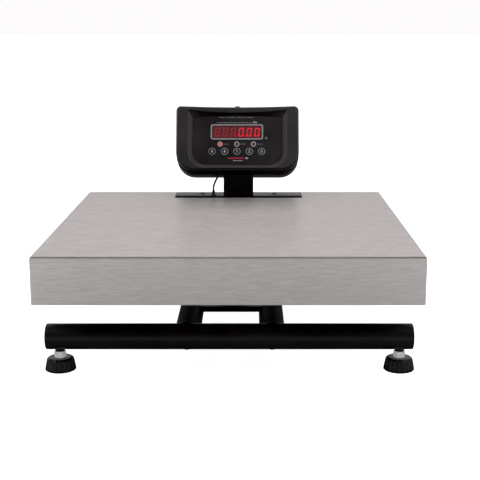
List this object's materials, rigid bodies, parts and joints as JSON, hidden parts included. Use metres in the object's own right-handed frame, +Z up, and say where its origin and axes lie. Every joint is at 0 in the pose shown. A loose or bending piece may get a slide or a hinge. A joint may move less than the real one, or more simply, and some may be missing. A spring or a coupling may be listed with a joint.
{
  "type": "platform shipping scale",
  "caption": "Bench platform scale: brushed stainless tray on a load cell and black tubular frame with levelling feet, and a tilted indicator on a rear bracket.",
  "frame": {"origin": "on the floor under the middle of the weighing pan, with the feet fully screwed in", "axes": "+X to the right seen from the front, +Y to the back where the indicator stands, +Z up"},
  "size_m": [0.5, 0.5047, 0.3223],
  "materials": {
    "stainless": "brushed stainless sheet, fine straight grain left to right",
    "black_paint": "satin black powder coat",
    "black_tube_paint": "satin black powder coat on round tube",
    "zinc": "bright zinc-plated fasteners",
    "black_fastener": "black oxide screws",
    "cell_aluminium": "machined aluminium alloy",
    "potting": "cast silicone over the strain gauges",
    "rubber_black": "moulded black rubber",
    "knob_plastic": "moulded black nylon",
    "housing_plastic": "fine-textured black ABS",
    "overlay_film": "black printed polycarbonate film",
    "window_film": "dark red display filter",
    "led_segments": "grey seven-segment display packages",
    "led_red": "red indicator lamps",
    "board_green": "green soldermask",
    "switch_black": "moulded switch bodies",
    "key_film": "black key faces",
    "cable_black": "black PVC cable and grommets"
  },
  "bodies": {
    "frame": {"front_cross_tube": "black_tube_paint", "rear_cross_tube": "black_tube_paint", "left_rail": "black_tube_paint", "right_rail": "black_tube_paint", "tube_end_plugs": "knob_plastic", "foot_bosses": "black_tube_paint", "cell_base_plate": "black_paint", "lower_cell_spacer": "cell_aluminium", "lower_cell_screws": "zinc", "overload_stop_screws": "zinc", "overload_stop_nuts": "zinc", "load_cell": "cell_aluminium", "load_cell_potting": "potting", "load_cell_cable_boot": "cable_black"},
    "platform": {"weighing_pan": "stainless", "upper_cell_spacer": "cell_aluminium", "upper_cell_screws": "zinc", "spider_plate": "black_paint", "spider_cross_beams": "black_paint", "spider_side_beams": "black_paint", "beam_end_plugs": "knob_plastic", "rubber_buffers": "rubber_black", "indicator_bracket": "black_paint", "bracket_screws": "black_fastener", "bracket_nuts": "zinc", "cable_grommet": "cable_black", "load_cell_cable": "cable_black", "front_housing": "housing_plastic", "rear_housing": "housing_plastic", "housing_screws": "zinc", "head_screws": "black_fastener", "head_nuts": "zinc", "overlay_panel": "overlay_film", "display_window": "window_film", "digit_modules": "led_segments", "status_leds": "led_red", "main_board": "board_green", "board_screws": "zinc", "key_switches": "switch_black", "cable_gland": "cable_black", "power_inlet": "switch_black"},
    "up_key": {"up_key": "key_film"},
    "down_key": {"down_key": "key_film"},
    "tare_key": {"tare_key": "key_film"},
    "zero_key": {"zero_key": "key_film"},
    "unit_key": {"unit_key": "key_film"},
    "front_left_foot_pad": {"front_left_pad": "rubber_black"},
    "front_left_foot_knob": {"front_left_knob": "knob_plastic", "front_left_stud": "zinc"},
    "front_right_foot_pad": {"front_right_pad": "rubber_black"},
    "front_right_foot_knob": {"front_right_knob": "knob_plastic", "front_right_stud": "zinc"},
    "rear_left_foot_pad": {"rear_left_pad": "rubber_black"},
    "rear_left_foot_knob": {"rear_left_knob": "knob_plastic", "rear_left_stud": "zinc"},
    "rear_right_foot_pad": {"rear_right_pad": "rubber_black"},
    "rear_right_foot_knob": {"rear_right_knob": "knob_plastic", "rear_right_stud": "zinc"}
  },
  "joints": [
    {"name": "platform_deflection", "type": "slide", "parent": "frame", "child": "platform", "axis": [0, 0, -1], "range_m": [0, 0.0006], "stiffness_N_per_m": 400000, "springref_m": -0.0003, "deforming": ["load_cell", "load_cell_potting"]},
    {"name": "up_key_press", "type": "slide", "parent": "platform", "child": "up_key", "axis": [0, 0.9397, -0.342], "range_m": [0, 0.0004], "stiffness_N_per_m": 40},
    {"name": "down_key_press", "type": "slide", "parent": "platform", "child": "down_key", "axis": [0, 0.9397, -0.342], "range_m": [0, 0.0004], "stiffness_N_per_m": 40},
    {"name": "tare_key_press", "type": "slide", "parent": "platform", "child": "tare_key", "axis": [0, 0.9397, -0.342], "range_m": [0, 0.0004], "stiffness_N_per_m": 40},
    {"name": "zero_key_press", "type": "slide", "parent": "platform", "child": "zero_key", "axis": [0, 0.9397, -0.342], "range_m": [0, 0.0004], "stiffness_N_per_m": 40},
    {"name": "unit_key_press", "type": "slide", "parent": "platform", "child": "unit_key", "axis": [0, 0.9397, -0.342], "range_m": [0, 0.0004], "stiffness_N_per_m": 40},
    {"name": "front_left_foot_travel", "type": "slide", "parent": "frame", "child": "front_left_foot_pad", "axis": [0, 0, -1], "range_m": [0, 0.01588]},
    {"name": "front_left_foot_turn", "type": "hinge", "parent": "front_left_foot_pad", "child": "front_left_foot_knob", "pos_m": [-0.228, -0.1824, 0.01], "axis": [0, 0, 1], "range_deg": [0, 3600]},
    {"name": "front_right_foot_travel", "type": "slide", "parent": "frame", "child": "front_right_foot_pad", "axis": [0, 0, -1], "range_m": [0, 0.01588]},
    {"name": "front_right_foot_turn", "type": "hinge", "parent": "front_right_foot_pad", "child": "front_right_foot_knob", "pos_m": [0.228, -0.1824, 0.01], "axis": [0, 0, 1], "range_deg": [0, 3600]},
    {"name": "rear_left_foot_travel", "type": "slide", "parent": "frame", "child": "rear_left_foot_pad", "axis": [0, 0, -1], "range_m": [0, 0.01588]},
    {"name": "rear_left_foot_turn", "type": "hinge", "parent": "rear_left_foot_pad", "child": "rear_left_foot_knob", "pos_m": [-0.228, 0.1824, 0.01], "axis": [0, 0, 1], "range_deg": [0, 3600]},
    {"name": "rear_right_foot_travel", "type": "slide", "parent": "frame", "child": "rear_right_foot_pad", "axis": [0, 0, -1], "range_m": [0, 0.01588]},
    {"name": "rear_right_foot_turn", "type": "hinge", "parent": "rear_right_foot_pad", "child": "rear_right_foot_knob", "pos_m": [0.228, 0.1824, 0.01], "axis": [0, 0, 1], "range_deg": [0, 3600]}
  ],
  "couplings": [
    {"joint": "front_left_foot_turn", "follows": "front_left_foot_travel", "rad_per_m": 3957.9},
    {"joint": "front_right_foot_turn", "follows": "front_right_foot_travel", "rad_per_m": 3957.9},
    {"joint": "rear_left_foot_turn", "follows": "rear_left_foot_travel", "rad_per_m": 3957.9},
    {"joint": "rear_right_foot_turn", "follows": "rear_right_foot_travel", "rad_per_m": 3957.9}
  ]
}
